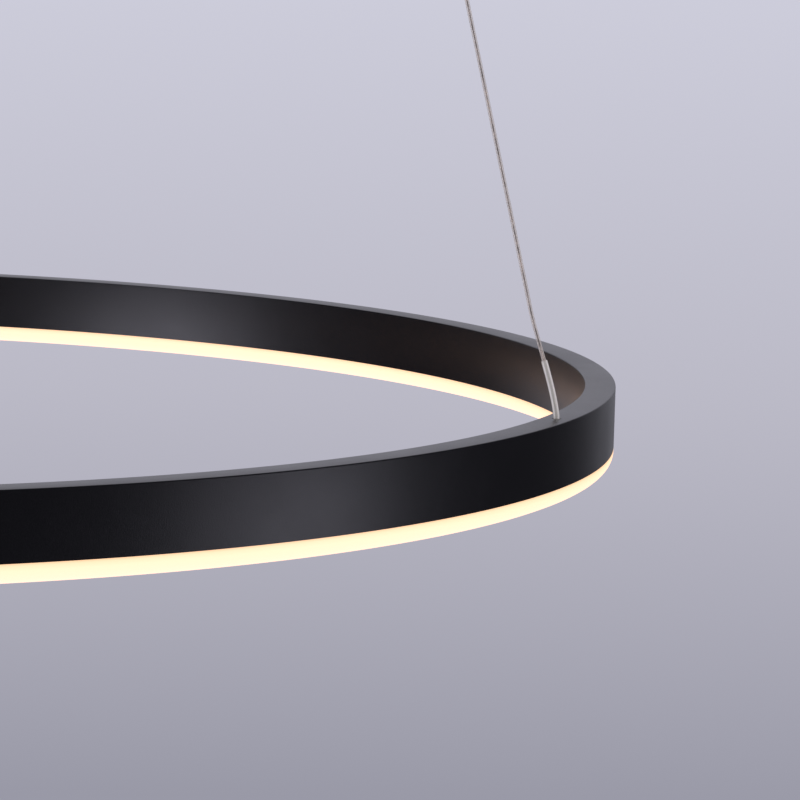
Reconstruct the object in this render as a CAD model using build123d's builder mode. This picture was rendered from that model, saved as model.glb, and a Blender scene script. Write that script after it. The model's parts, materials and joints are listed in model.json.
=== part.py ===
from build123d import *
from math import atan, cos, pi, radians, sin, sqrt, tan
import os

# Ring pendant light: a slim black ring with a domed opal underside, hung level on three
# clear-jacketed wires from grippers in a round canopy. Millimetres, +Z up. The origin is on
# the ceiling, over the middle of the ring. The first wire stands in the +X direction.

# Ring profile, an extrusion bent to a ring
RING_DIAMETER = 610.0
PROFILE_WIDTH = 10.0
PROFILE_HEIGHT = 20.0
PROFILE_EDGE_RADIUS = 0.4
SIDE_WALL = 1.2
TOP_WALL = 1.5
WIRE_CHAMBER_HEIGHT = 9.5
WEB_THICKNESS = 1.2
RIB_DEPTH = 0.5
RIB_HEIGHT = 1.0
RIB_ABOVE_RIM = 1.6

# Diffuser, an opal strip that snaps into the open underside
DOME_LIP = 1.0
DOME_WALL = 1.4
LEG_THICKNESS = 0.9
LEG_CLEARANCE = 0.1
BARB_HEIGHT = 1.0

# LED boards on the underside of the web
BOARD_WIDTH = 6.4
BOARD_THICKNESS = 1.0
BOARD_JOINT = 1.0
FEED_JOINT = 8.0
LED_COUNT = 144
LED_LENGTH = 3.5
LED_WIDTH = 2.8
LED_HEIGHT = 0.7
LINK_LAP = 2.0
LINK_WIDTH = 0.8
LINK_HEIGHT = 0.4
LINK_SPACING = 4.8

# Wires: a stranded core in a clear jacket, with a clear sleeve at the foot
WIRE_COUNT = 3
RING_DROP = 680.0
CORE_DIAMETER = 0.5
JACKET_DIAMETER = 1.3
JACKET_CLEARANCE = 0.02
SLEEVE_DIAMETER = 1.9
SLEEVE_CLEARANCE = 0.05
SLEEVE_RISE = 17.5
JACKET_STRIP = 3.0
FOOT_RISE = 4.0
EASE_RISE = 29.0
EASE_INSET = 8.5
EASE_BEND = 240.0
HEAD_FALL = 4.0
WIRE_BEND = 20.0

# Anchors in the ring: an insulating bush and a crimped ferrule under the top wall
ANCHOR_HOLE = 3.2
BUSH_CLEARANCE = 0.05
BUSH_FLANGE_DIAMETER = 5.6
BUSH_FLANGE_THICKNESS = 1.4
SLEEVE_SEAT_DEPTH = 1.2
ANCHOR_CLEARANCE = 0.2
PORT_CLEARANCE = 0.2
FERRULE_DIAMETER = 2.8
FERRULE_LENGTH = 5.0
FERRULE_LIP = 1.0
FERRULE_FLATS = 2.4
CRIMP_CLEARANCE = 0.05
FEED_LEAD_DIAMETER = 0.6
FEED_LEAD_BEND = 0.9
FEED_LEAD_RISE = 1.0
FEED_LEAD_LANDING = 0.8

# Canopy cup and the bracket that holds it to the ceiling
CANOPY_DIAMETER = 300.0
CANOPY_HEIGHT = 36.0
CANOPY_WALL = 1.0
CANOPY_EDGE_RADIUS = 4.0
BRACKET_WIDTH = 26.0
BRACKET_THICKNESS = 1.5
BRACKET_EAR = 20.0
BRACKET_BEND = 1.0
BRACKET_CLEARANCE = 0.2
SLOT_SPACING = 190.0
SLOT_LENGTH = 25.0
SLOT_WIDTH = 5.0
SIDE_SCREW_DIAMETER = 4.0
SIDE_SCREW_LENGTH = 8.0
SIDE_SCREW_DROP = 12.0
SIDE_SCREW_HEAD_DIAMETER = 8.0
SIDE_SCREW_HEAD_HEIGHT = 3.0
SIDE_SCREW_EDGE = 0.5
EARTH_SCREW_DIAMETER = 4.0
EARTH_SCREW_OFFSET = 55.0
EARTH_SCREW_HEAD_DIAMETER = 7.0
EARTH_SCREW_HEAD_HEIGHT = 2.6
EARTH_SCREW_EDGE = 0.6
HOLE_CLEARANCE = 0.25
THREAD_CLEARANCE = 0.05

# Wire grippers: three balls in a cone hold the wire until the plunger is pushed up
GRIPPER_INSET = 15.0
STEM_DIAMETER = 8.0
STEM_ABOVE_NUT = 1.5
STEM_FLANGE_DIAMETER = 12.0
STEM_FLANGE_THICKNESS = 2.0
SPIGOT_LENGTH = 4.0
NUT_FLATS = 13.0
NUT_HEIGHT = 4.0
GRIPPER_DIAMETER = 12.0
GRIPPER_LENGTH = 17.0
GRIPPER_EDGE = 0.8
SPRING_CHAMBER_DIAMETER = 7.0
SPRING_LENGTH = 4.5
SPRING_DIAMETER = 5.2
SPRING_WIRE = 0.5
SPRING_TURNS = 3
SPRING_SEAT_CLEARANCE = 0.1
COLLAR_DIAMETER = 6.4
COLLAR_THICKNESS = 1.2
PLUNGER_DIAMETER = 4.0
PLUNGER_CLEARANCE = 0.1
PLUNGER_REACH = 5.0
PLUNGER_LIP = 0.7
PLUNGER_MOUTH = 0.3
BALL_COUNT = 3
BALL_DIAMETER = 1.6
BALL_DROP = 2.5
BALL_CLEARANCE = 0.05
CONE_ANGLE = 12.0
WIRE_BORE_CLEARANCE = 0.25

# Driver in the canopy, on two weld studs
DRIVER_LENGTH = 100.0
DRIVER_WIDTH = 42.0
DRIVER_HEIGHT = 20.0
DRIVER_WALL = 1.8
DRIVER_CORNER = 3.0
DRIVER_LID_THICKNESS = 2.5
DRIVER_LID_LIP = 1.5
DRIVER_LID_EDGE = 0.8
DRIVER_CLEARANCE = 0.3
TAB_LENGTH = 10.0
TAB_WIDTH = 16.0
TAB_THICKNESS = 2.0
STUD_DIAMETER = 3.0
STUD_LENGTH = 6.5
STUD_NUT_FLATS = 5.5
STUD_NUT_HEIGHT = 2.4
RAIL_HEIGHT = 2.0
RAIL_WIDTH = 3.0
RAIL_SPACING = 24.0
CIRCUIT_THICKNESS = 1.6
TRANSFORMER_LENGTH = 24.0
TRANSFORMER_WIDTH = 20.0
TRANSFORMER_HEIGHT = 11.0
CAPACITOR_DIAMETER = 10.0
CAPACITOR_HEIGHT = 11.0
CAPACITOR_OFFSET = 22.0
TERMINAL_DEPTH = 9.0
TERMINAL_HEIGHT = 10.0
TERMINAL_PITCH = 5.0
TERMINAL_END = 1.0
TERMINAL_ENTRY = 2.2
TERMINAL_ENTRY_RISE = 4.0
TERMINAL_ENTRY_DEPTH = 6.0
TERMINAL_SCREW = 2.8
TERMINAL_SCREW_DEPTH = 2.0
INPUT_POLES = 3
OUTPUT_POLES = 2

# Output leads from the driver to the first and the third wire, and the caps on the wire tails
LEAD_DIAMETER = 1.6
LEAD_BEND = 5.0
LEAD_START = 4.0
LEAD_STRAIGHT = 16.0
LEAD_TURN = 34.0
TAIL_SPACING = 1.7
TAIL_DEPTH = 6.0
CAP_DIAMETER = 5.4
CAP_HEIGHT = 11.0
CAP_BORE = 3.7
CAP_BORE_DEPTH = 8.0
CAP_RISE = 4.5
CAP_EDGE = 1.2

# Places that follow from the sizes above
wire_angles = [360 / WIRE_COUNT * place for place in range(WIRE_COUNT)]
ring_middle = (RING_DIAMETER - PROFILE_WIDTH) / 2
gripper_radius = CANOPY_DIAMETER / 2 - GRIPPER_INSET
chamber_width = PROFILE_WIDTH - 2 * SIDE_WALL

canopy_bottom = -CANOPY_HEIGHT
canopy_floor = canopy_bottom + CANOPY_WALL
ring_top = canopy_bottom - RING_DROP
ring_bottom = ring_top - PROFILE_HEIGHT
wire_chamber_top = ring_top - TOP_WALL
web_top = wire_chamber_top - WIRE_CHAMBER_HEIGHT
web_bottom = web_top - WEB_THICKNESS
board_bottom = web_bottom - BOARD_THICKNESS
dome_bottom = ring_bottom - DOME_LIP - PROFILE_WIDTH / 2
rib_bottom = ring_bottom + RIB_ABOVE_RIM
rib_top = rib_bottom + RIB_HEIGHT
port_diameter = BUSH_FLANGE_DIAMETER + 2 * PORT_CLEARANCE

bush_bottom = wire_chamber_top - BUSH_FLANGE_THICKNESS
ferrule_bottom = bush_bottom - FERRULE_LENGTH

stem_flange_bottom = canopy_bottom - STEM_FLANGE_THICKNESS
spigot_bottom = stem_flange_bottom - SPIGOT_LENGTH
collar_top = spigot_bottom - SPRING_LENGTH
collar_bottom = collar_top - COLLAR_THICKNESS
ledge = collar_bottom - PLUNGER_CLEARANCE
gripper_bottom = stem_flange_bottom - GRIPPER_LENGTH
plunger_bottom = gripper_bottom - PLUNGER_REACH
nut_top = canopy_floor + NUT_HEIGHT
stem_top = nut_top + STEM_ABOVE_NUT
wire_bore = JACKET_DIAMETER + 2 * WIRE_BORE_CLEARANCE

# The balls touch the wire on one side and the cone on the other
ball_circle = (JACKET_DIAMETER + BALL_DIAMETER) / 2 + BALL_CLEARANCE
ball_height = ledge - BALL_DROP
cone_slope = tan(radians(CONE_ANGLE))
cone_at_ball = ball_circle + (BALL_DIAMETER / 2 + BALL_CLEARANCE) / cos(radians(CONE_ANGLE))
guide_radius = PLUNGER_DIAMETER / 2 + PLUNGER_CLEARANCE
cone_top_radius = cone_at_ball + BALL_DROP * cone_slope
cone_bottom = ball_height - (cone_at_ball - guide_radius) / cone_slope

# Driver levels, and the height at which the leads run
case_top = canopy_floor + DRIVER_HEIGHT
circuit_bottom = canopy_floor + DRIVER_WALL + RAIL_HEIGHT
circuit_top = circuit_bottom + CIRCUIT_THICKNESS
lead_height = circuit_top + TERMINAL_ENTRY_RISE
cap_bottom = lead_height + CAP_RISE
tail_top = cap_bottom + TAIL_DEPTH
lead_radius = gripper_radius - TAIL_SPACING

# Upright planes through the first wire's anchor and gripper: first radius, then height
anchor_plane = Plane(origin=(ring_middle, 0, 0), x_dir=(1, 0, 0), z_dir=(0, -1, 0))
anchor_axis = Axis((ring_middle, 0, 0), (0, 0, 1))
gripper_plane = Plane(origin=(gripper_radius, 0, 0), x_dir=(1, 0, 0), z_dir=(0, -1, 0))
gripper_axis = Axis((gripper_radius, 0, 0), (0, 0, 1))

os.makedirs("parts", exist_ok=True)


def keep(part, node):
    """Label a finished piece and write it as its own node."""
    part.label = node
    export_step(part, f"parts/{node}.step")


def keep_for_each_wire(part, node):
    """Write a piece of the first wire once for every wire, turned about the ring's axis."""
    for place, angle in enumerate(wire_angles, start=1):
        keep(part.rotate(Axis.Z, angle), f"{node}_{place}")


# Ring housing: closed wire chamber over the web, open lamp chamber under it
with BuildPart() as ring_housing:
    with BuildSketch(Plane.XZ) as profile:
        with Locations((ring_middle, (ring_top + ring_bottom) / 2)):
            Rectangle(PROFILE_WIDTH, PROFILE_HEIGHT)
        fillet(profile.vertices().group_by(Axis.Y)[-1], PROFILE_EDGE_RADIUS)
        with Locations((ring_middle, (wire_chamber_top + web_top) / 2)):
            Rectangle(chamber_width, WIRE_CHAMBER_HEIGHT, mode=Mode.SUBTRACT)
        with Locations((ring_middle, (web_bottom + ring_bottom) / 2)):
            Rectangle(chamber_width, web_bottom - ring_bottom, mode=Mode.SUBTRACT)
        for side in (-1, 1):
            wall = ring_middle + side * chamber_width / 2
            tip = wall - side * RIB_DEPTH
            with BuildLine():
                Polyline(
                    (wall, rib_top),
                    (tip, rib_top),
                    (tip, rib_bottom + RIB_DEPTH),
                    (wall, rib_bottom),
                    close=True,
                )
            make_face()
    revolve(axis=Axis.Z)
    with BuildSketch(Plane.XY.offset(ring_top)):
        with PolarLocations(ring_middle, WIRE_COUNT):
            Circle(ANCHOR_HOLE / 2)
    extrude(amount=-TOP_WALL, mode=Mode.SUBTRACT)
    with BuildSketch(Plane.XY.offset(web_top)):
        with PolarLocations(ring_middle, WIRE_COUNT):
            Circle(port_diameter / 2)
    extrude(amount=-WEB_THICKNESS, mode=Mode.SUBTRACT)
keep(ring_housing.part, "ring_housing")

# Diffuser: hollow dome flush with the profile, two legs with barbs that hook over the ribs
with BuildPart() as diffuser:
    leg_outer = chamber_width / 2 - RIB_DEPTH - LEG_CLEARANCE
    leg_inner = leg_outer - LEG_THICKNESS
    barb_tip = chamber_width / 2 - LEG_CLEARANCE
    barb_bottom = rib_top + LEG_CLEARANCE
    barb_top = barb_bottom + BARB_HEIGHT
    with BuildSketch(Plane.XZ):
        for half_width, lowest, mode in (
            (PROFILE_WIDTH / 2, dome_bottom, Mode.ADD),
            (leg_inner, dome_bottom + DOME_WALL, Mode.SUBTRACT),
        ):
            left = ring_middle - half_width
            right = ring_middle + half_width
            arc_ends = lowest + half_width
            with BuildLine():
                Line((left, ring_bottom), (left, arc_ends))
                ThreePointArc((left, arc_ends), (ring_middle, lowest), (right, arc_ends))
                Polyline((right, arc_ends), (right, ring_bottom), (left, ring_bottom))
            make_face(mode=mode)
        for side in (-1, 1):
            with BuildLine():
                Polyline(
                    (ring_middle + side * leg_inner, ring_bottom),
                    (ring_middle + side * leg_outer, ring_bottom),
                    (ring_middle + side * leg_outer, barb_bottom),
                    (ring_middle + side * barb_tip, barb_bottom),
                    (ring_middle + side * leg_outer, barb_top),
                    (ring_middle + side * leg_inner, barb_top),
                    close=True,
                )
            make_face()
    revolve(axis=Axis.Z)
keep(diffuser.part, "diffuser")

# LED boards: arcs under the web, with a wider joint under each wire for the feed
with BuildPart() as led_boards:
    with BuildSketch(Plane.XY.offset(web_bottom)):
        Circle(ring_middle + BOARD_WIDTH / 2)
        Circle(ring_middle - BOARD_WIDTH / 2, mode=Mode.SUBTRACT)
        with PolarLocations(ring_middle, WIRE_COUNT):
            Rectangle(PROFILE_WIDTH, FEED_JOINT, mode=Mode.SUBTRACT)
        with PolarLocations(ring_middle, WIRE_COUNT, start_angle=180 / WIRE_COUNT):
            Rectangle(PROFILE_WIDTH, BOARD_JOINT, mode=Mode.SUBTRACT)
    extrude(amount=-BOARD_THICKNESS)
keep(led_boards.part, "led_boards")

# LED packages, evenly spaced, half a step away from the joints
with BuildPart() as led_packages:
    with BuildSketch(Plane.XY.offset(board_bottom)):
        with PolarLocations(ring_middle, LED_COUNT, start_angle=180 / LED_COUNT):
            Rectangle(LED_WIDTH, LED_LENGTH)
    extrude(amount=-LED_HEIGHT)
keep(led_packages.part, "led_packages")

# Two rails across every joint join the boards into one circuit
with BuildPart() as board_links:
    with BuildSketch(Plane.XY.offset(board_bottom)):
        for joint_width, start in ((FEED_JOINT, 0), (BOARD_JOINT, 180 / WIRE_COUNT)):
            for rail in (-1, 1):
                with PolarLocations(ring_middle, WIRE_COUNT, start_angle=start):
                    with Locations((rail * LINK_SPACING / 2, 0)):
                        Rectangle(LINK_WIDTH, joint_width + 2 * LINK_LAP)
    extrude(amount=-LINK_HEIGHT)
keep(board_links.part, "board_links")

# Anchor bush: nose in the top wall, flange under it, seat for the sleeve's end
with BuildPart() as anchor_bush:
    nose_radius = ANCHOR_HOLE / 2 - BUSH_CLEARANCE
    seat_radius = SLEEVE_DIAMETER / 2 + ANCHOR_CLEARANCE
    bore_radius = JACKET_DIAMETER / 2 + ANCHOR_CLEARANCE
    seat_bottom = ring_top - SLEEVE_SEAT_DEPTH
    with BuildSketch(anchor_plane):
        with BuildLine():
            Polyline(
                (seat_radius, ring_top),
                (nose_radius, ring_top),
                (nose_radius, wire_chamber_top),
                (BUSH_FLANGE_DIAMETER / 2, wire_chamber_top),
                (BUSH_FLANGE_DIAMETER / 2, bush_bottom),
                (bore_radius, bush_bottom),
                (bore_radius, seat_bottom),
                (seat_radius, seat_bottom),
                close=True,
            )
        make_face()
    revolve(axis=anchor_axis)
keep_for_each_wire(anchor_bush.part, "anchor_bush")

# Ferrule: round lips and a hexagonal crimp on the bare core
with BuildPart() as wire_ferrule:
    with BuildSketch(Plane.XY.offset(bush_bottom)):
        with Locations((ring_middle, 0)):
            Circle(FERRULE_DIAMETER / 2)
    extrude(amount=-FERRULE_LIP)
    with BuildSketch(Plane.XY.offset(bush_bottom - FERRULE_LIP)):
        with Locations((ring_middle, 0)):
            RegularPolygon(FERRULE_FLATS / 2, 6, major_radius=False)
    extrude(amount=-(FERRULE_LENGTH - 2 * FERRULE_LIP))
    with BuildSketch(Plane.XY.offset(ferrule_bottom)):
        with Locations((ring_middle, 0)):
            Circle(FERRULE_DIAMETER / 2)
    extrude(amount=FERRULE_LIP)
    with BuildSketch(Plane.XY.offset(ferrule_bottom)):
        with Locations((ring_middle, 0)):
            Circle(CORE_DIAMETER / 2 + CRIMP_CLEARANCE)
    extrude(amount=FERRULE_LENGTH, mode=Mode.SUBTRACT)
keep_for_each_wire(wire_ferrule.part, "wire_ferrule")

# Feed leads: from the first ferrule to the outer rail, from the last one to the inner rail
feed_leads = (("feed_lead_positive", wire_angles[0], 1), ("feed_lead_negative", wire_angles[-1], -1))
for node, angle, rail in feed_leads:
    with BuildPart() as feed_lead:
        with BuildLine(anchor_plane):
            FilletPolyline(
                (0, ferrule_bottom),
                (0, web_top + FEED_LEAD_RISE),
                (rail * LINK_SPACING / 2, board_bottom + FEED_LEAD_LANDING),
                (rail * LINK_SPACING / 2, board_bottom),
                radius=FEED_LEAD_BEND,
            )
        with BuildSketch(Plane.XY.offset(ferrule_bottom)):
            with Locations((ring_middle, 0)):
                Circle(FEED_LEAD_DIAMETER / 2)
        sweep()
    keep(feed_lead.part.rotate(Axis.Z, angle), node)

# Wire route of the first wire, from its anchor up to its gripper: it leans most in its sleeve,
# eases a little above it, and then runs taut
foot_height = ring_top + FOOT_RISE
head_height = plunger_bottom - HEAD_FALL
sleeve_lean = -EASE_INSET / (EASE_RISE - FOOT_RISE)
foot_corner = (0, foot_height)
ease_corner = (-EASE_INSET, ring_top + EASE_RISE)
head_corner = (gripper_radius - ring_middle, head_height)
sleeve_end = (sleeve_lean * (SLEEVE_RISE - FOOT_RISE), ring_top + SLEEVE_RISE)
taut_lean = (head_corner[0] - ease_corner[0]) / (head_corner[1] - ease_corner[1])
ease_turn = abs(atan(sleeve_lean) - atan(taut_lean))
ease_stretch = (EASE_RISE - SLEEVE_RISE) / cos(atan(sleeve_lean))
ease_bend = min(EASE_BEND, ease_stretch / tan(ease_turn / 2))
wire_bends = (WIRE_BEND, ease_bend, WIRE_BEND)
core_bottom = ferrule_bottom
jacket_bottom = bush_bottom + ANCHOR_CLEARANCE
sleeve_bottom = ring_top - SLEEVE_SEAT_DEPTH + ANCHOR_CLEARANCE
jacket_top = tail_top - JACKET_STRIP
jacket_bore = CORE_DIAMETER / 2 + JACKET_CLEARANCE
sleeve_bore = JACKET_DIAMETER / 2 + SLEEVE_CLEARANCE


def report_tube(node, tube, route, section_area):
    """Print a tube's bend radii, and its volume beside its section times its length."""
    radii = ", ".join(f"{arc.radius:.1f}" for arc in route.edges().filter_by(GeomType.CIRCLE))
    print(f"{node}: bend radii {radii}, length {route.length:.2f}, volume {tube.volume:.3f}, "
          f"section times length {section_area * route.length:.3f}")


# Stranded core, as one round tube of its outer size
with BuildPart() as wire_core:
    with BuildLine(anchor_plane) as core_route:
        FilletPolyline(
            (0, core_bottom),
            foot_corner,
            ease_corner,
            head_corner,
            (head_corner[0], tail_top),
            radius=wire_bends,
        )
    with BuildSketch(Plane.XY.offset(core_bottom)) as core_section:
        with Locations((ring_middle, 0)):
            Circle(CORE_DIAMETER / 2)
    sweep()
report_tube("wire_core", wire_core.part, core_route.wire(), core_section.sketch.area)
keep_for_each_wire(wire_core.part, "wire_core")

# Clear jacket around the core
with BuildPart() as wire_jacket:
    with BuildLine(anchor_plane) as jacket_route:
        FilletPolyline(
            (0, jacket_bottom),
            foot_corner,
            ease_corner,
            head_corner,
            (head_corner[0], jacket_top),
            radius=wire_bends,
        )
    with BuildSketch(Plane.XY.offset(jacket_bottom)) as jacket_section:
        with Locations((ring_middle, 0)):
            Circle(JACKET_DIAMETER / 2)
            Circle(jacket_bore, mode=Mode.SUBTRACT)
    sweep()
report_tube("wire_jacket", wire_jacket.part, jacket_route.wire(), jacket_section.sketch.area)
keep_for_each_wire(wire_jacket.part, "wire_jacket")

# Clear sleeve over the foot of the wire, from its seat in the bush
with BuildPart() as wire_sleeve:
    with BuildLine(anchor_plane) as sleeve_route:
        FilletPolyline((0, sleeve_bottom), foot_corner, sleeve_end, radius=WIRE_BEND)
    with BuildSketch(Plane.XY.offset(sleeve_bottom)) as sleeve_section:
        with Locations((ring_middle, 0)):
            Circle(SLEEVE_DIAMETER / 2)
            Circle(sleeve_bore, mode=Mode.SUBTRACT)
    sweep()
report_tube("wire_sleeve", wire_sleeve.part, sleeve_route.wire(), sleeve_section.sketch.area)
keep_for_each_wire(wire_sleeve.part, "wire_sleeve")

# Gripper stem: threaded tube through the canopy, flange under it, spigot into the body
with BuildPart() as gripper_stem:
    with BuildSketch(gripper_plane):
        with BuildLine():
            Polyline(
                (wire_bore / 2, stem_top),
                (STEM_DIAMETER / 2, stem_top),
                (STEM_DIAMETER / 2, canopy_bottom),
                (STEM_FLANGE_DIAMETER / 2, canopy_bottom),
                (STEM_FLANGE_DIAMETER / 2, stem_flange_bottom),
                (STEM_DIAMETER / 2, stem_flange_bottom),
                (STEM_DIAMETER / 2, spigot_bottom),
                (wire_bore / 2, spigot_bottom),
                close=True,
            )
        make_face()
    revolve(axis=gripper_axis)
keep_for_each_wire(gripper_stem.part, "gripper_stem")

# Gripper body: socket for the spigot, spring chamber, ball cone and plunger guide
with BuildPart() as gripper_body:
    socket_radius = STEM_DIAMETER / 2 + THREAD_CLEARANCE
    with BuildSketch(gripper_plane):
        with BuildLine():
            Polyline(
                (socket_radius, stem_flange_bottom),
                (GRIPPER_DIAMETER / 2, stem_flange_bottom),
                (GRIPPER_DIAMETER / 2, gripper_bottom + GRIPPER_EDGE),
                (GRIPPER_DIAMETER / 2 - GRIPPER_EDGE, gripper_bottom),
                (guide_radius, gripper_bottom),
                (guide_radius, cone_bottom),
                (cone_top_radius, ledge),
                (SPRING_CHAMBER_DIAMETER / 2, ledge),
                (SPRING_CHAMBER_DIAMETER / 2, spigot_bottom),
                (socket_radius, spigot_bottom),
                close=True,
            )
        make_face()
    revolve(axis=gripper_axis)
keep_for_each_wire(gripper_body.part, "gripper_body")

# Plunger: tube with a collar under the spring, ball pockets, and a rounded mouth to push on
with BuildPart() as gripper_plunger:
    mouth_radius = wire_bore / 2 + PLUNGER_MOUTH
    with BuildSketch(gripper_plane):
        with BuildLine():
            Polyline(
                (wire_bore / 2, collar_top),
                (COLLAR_DIAMETER / 2, collar_top),
                (COLLAR_DIAMETER / 2, collar_bottom),
                (PLUNGER_DIAMETER / 2, collar_bottom),
                (PLUNGER_DIAMETER / 2, plunger_bottom + PLUNGER_LIP),
                (PLUNGER_DIAMETER / 2 - PLUNGER_LIP, plunger_bottom),
                (mouth_radius, plunger_bottom),
                (wire_bore / 2, plunger_bottom + PLUNGER_MOUTH),
                close=True,
            )
        make_face()
    revolve(axis=gripper_axis)
    with Locations((gripper_radius, 0, ball_height)):
        with PolarLocations(PLUNGER_DIAMETER / 2, BALL_COUNT):
            Cylinder(
                BALL_DIAMETER / 2 + BALL_CLEARANCE, PLUNGER_DIAMETER, rotation=(0, 90, 0), mode=Mode.SUBTRACT
            )
keep_for_each_wire(gripper_plunger.part, "gripper_plunger")

# Steel balls in the pockets
with BuildPart() as gripper_balls:
    with Locations((gripper_radius, 0, ball_height)):
        with PolarLocations(ball_circle, BALL_COUNT):
            Sphere(BALL_DIAMETER / 2)
keep_for_each_wire(gripper_balls.part, "gripper_balls")

# Spring between the spigot and the plunger's collar
coil_bottom = collar_top + SPRING_SEAT_CLEARANCE + SPRING_WIRE / 2
coil_top = spigot_bottom - SPRING_SEAT_CLEARANCE - SPRING_WIRE / 2
coil_pitch = (coil_top - coil_bottom) / SPRING_TURNS
coil_radius = SPRING_DIAMETER / 2


def coil_point(turn):
    """Point on the spring's helix after a number of turns."""
    angle = 2 * pi * turn
    return Vector(
        gripper_radius + coil_radius * cos(angle), coil_radius * sin(angle), coil_bottom + coil_pitch * turn
    )


def coil_direction(turn):
    """Direction of the spring's helix after a number of turns."""
    angle = 2 * pi * turn
    return Vector(-coil_radius * sin(angle), coil_radius * cos(angle), coil_pitch / (2 * pi)).normalized()


with BuildPart() as gripper_spring:
    with BuildLine():
        for quarter in range(4 * SPRING_TURNS):
            start = coil_point(quarter / 4)
            end = coil_point((quarter + 1) / 4)
            leaving = coil_direction(quarter / 4)
            arriving = coil_direction((quarter + 1) / 4)
            # Two arcs that meet with one tangent, each as far from its end as the other
            spread = 2 * (1 - leaving.dot(arriving))
            along = (end - start).dot(leaving + arriving)
            reach = (sqrt(along**2 + spread * (end - start).dot(end - start)) - along) / spread
            first_corner = start + leaving * reach
            second_corner = end - arriving * reach
            meeting = (first_corner + second_corner) / 2
            TangentArc(start, meeting, tangent=leaving)
            TangentArc(meeting, end, tangent=second_corner - first_corner)
    with BuildSketch(Plane(origin=coil_point(0), z_dir=coil_direction(0))):
        Circle(SPRING_WIRE / 2)
    sweep()
print(f"gripper_spring: least gap between turns {coil_pitch - SPRING_WIRE:.2f}")
keep_for_each_wire(gripper_spring.part, "gripper_spring")

# Nuts on the stems, inside the canopy
with BuildPart() as gripper_nuts:
    with BuildSketch(Plane.XY.offset(canopy_floor)):
        with PolarLocations(gripper_radius, WIRE_COUNT):
            RegularPolygon(NUT_FLATS / 2, 6, major_radius=False)
            Circle(STEM_DIAMETER / 2 + THREAD_CLEARANCE, mode=Mode.SUBTRACT)
    extrude(amount=NUT_HEIGHT)
keep(gripper_nuts.part, "gripper_nuts")

# Caps on the wire tails: one bore for the tail and a lead, side by side
with BuildPart() as tail_cap:
    cap_radius = gripper_radius - TAIL_SPACING / 2
    cap_top = cap_bottom + CAP_HEIGHT
    cap_bore_top = cap_bottom + CAP_BORE_DEPTH
    with BuildSketch(Plane(origin=(cap_radius, 0, 0), x_dir=(1, 0, 0), z_dir=(0, -1, 0))):
        with BuildLine():
            Polyline(
                (CAP_BORE / 2, cap_bottom),
                (CAP_DIAMETER / 2, cap_bottom),
                (CAP_DIAMETER / 2, cap_top - CAP_EDGE),
                (CAP_DIAMETER / 2 - CAP_EDGE, cap_top),
                (0, cap_top),
                (0, cap_bore_top),
                (CAP_BORE / 2, cap_bore_top),
                close=True,
            )
        make_face()
    revolve(axis=Axis((cap_radius, 0, 0), (0, 0, 1)))
keep_for_each_wire(tail_cap.part, "tail_cap")

# Canopy: pressed cup with a rounded lower edge, open to the ceiling
with BuildPart() as canopy_cup:
    with BuildSketch(Plane.XY):
        Circle(CANOPY_DIAMETER / 2)
    extrude(amount=-CANOPY_HEIGHT)
    fillet(canopy_cup.edges().sort_by(Axis.Z)[0], CANOPY_EDGE_RADIUS)
    offset(amount=-CANOPY_WALL, openings=canopy_cup.faces().sort_by(Axis.Z)[-1])
    with BuildSketch(Plane.XY.offset(canopy_bottom)):
        with PolarLocations(gripper_radius, WIRE_COUNT):
            Circle(STEM_DIAMETER / 2 + HOLE_CLEARANCE)
    extrude(amount=CANOPY_WALL, mode=Mode.SUBTRACT)
    with BuildSketch(Plane.XZ):
        with Locations((0, -SIDE_SCREW_DROP)):
            Circle(SIDE_SCREW_DIAMETER / 2 + HOLE_CLEARANCE)
    extrude(amount=CANOPY_DIAMETER / 2, both=True, mode=Mode.SUBTRACT)
keep(canopy_cup.part, "canopy_cup")

# Ceiling bracket: strap with two slots for the ceiling screws and an ear at each end
ear_reach = sqrt((CANOPY_DIAMETER / 2 - CANOPY_WALL) ** 2 - (BRACKET_WIDTH / 2) ** 2) - BRACKET_CLEARANCE
with BuildPart() as ceiling_bracket:
    with BuildSketch(Plane.YZ) as strap:
        with Locations((0, -BRACKET_EAR / 2)):
            Rectangle(2 * ear_reach, BRACKET_EAR)
        fillet(strap.vertices().group_by(Axis.Y)[-1], BRACKET_BEND + BRACKET_THICKNESS)
        with BuildSketch(mode=Mode.SUBTRACT) as strap_inside:
            with Locations((0, -(BRACKET_EAR + BRACKET_THICKNESS) / 2)):
                Rectangle(2 * (ear_reach - BRACKET_THICKNESS), BRACKET_EAR - BRACKET_THICKNESS)
            fillet(strap_inside.vertices().group_by(Axis.Y)[-1], BRACKET_BEND)
    extrude(amount=BRACKET_WIDTH / 2, both=True)
    with BuildSketch(Plane.XY):
        with GridLocations(SLOT_SPACING, SLOT_SPACING, 1, 2):
            SlotOverall(SLOT_LENGTH, SLOT_WIDTH, rotation=90)
        with Locations((0, EARTH_SCREW_OFFSET)):
            Circle(EARTH_SCREW_DIAMETER / 2 + THREAD_CLEARANCE)
    extrude(amount=-BRACKET_THICKNESS, mode=Mode.SUBTRACT)
    with BuildSketch(Plane.XZ):
        with Locations((0, -SIDE_SCREW_DROP)):
            Circle(SIDE_SCREW_DIAMETER / 2 + THREAD_CLEARANCE)
    extrude(amount=CANOPY_DIAMETER / 2, both=True, mode=Mode.SUBTRACT)
keep(ceiling_bracket.part, "ceiling_bracket")

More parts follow.
